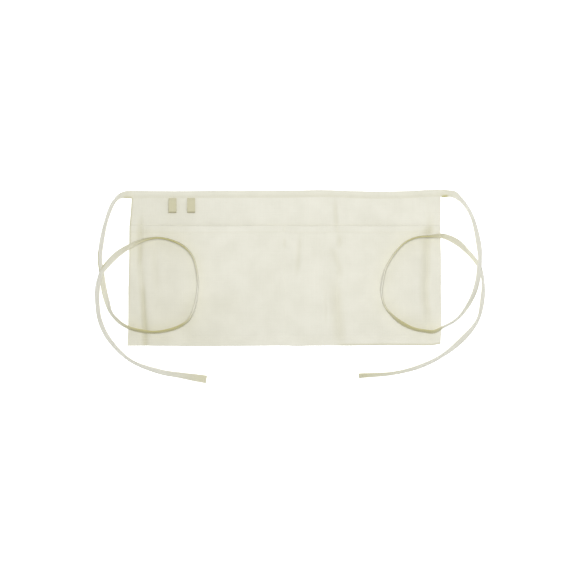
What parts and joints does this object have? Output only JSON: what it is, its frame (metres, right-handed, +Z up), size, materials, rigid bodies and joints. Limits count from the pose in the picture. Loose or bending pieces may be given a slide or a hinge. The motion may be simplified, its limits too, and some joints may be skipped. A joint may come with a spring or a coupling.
{
  "type": "canvas waist apron",
  "caption": "Cream canvas waist apron laid flat, with front pockets sewn from one panel, a folded tape waistband, tape tool loops and long tie strings.",
  "frame": {"origin": "middle of the apron's footprint without its ties, on the surface that it lies on", "axes": "+X along the waistband, +Y from the bottom hem to the waistband, +Z up, out of the apron's front"},
  "size_m": [0.6321, 0.3143, 0.025],
  "materials": {
    "canvas": "natural undyed cotton canvas, plain weave, matte",
    "tape": "natural cotton tape, folded and edge stitched, matte"
  },
  "bodies": {
    "root": {"apron_panel": "canvas", "pocket_panel": "canvas", "waistband": "tape", "tool_loop_left": "tape", "tool_loop_right": "tape", "tie_left": "tape", "tie_right": "tape"}
  },
  "joints": []
}
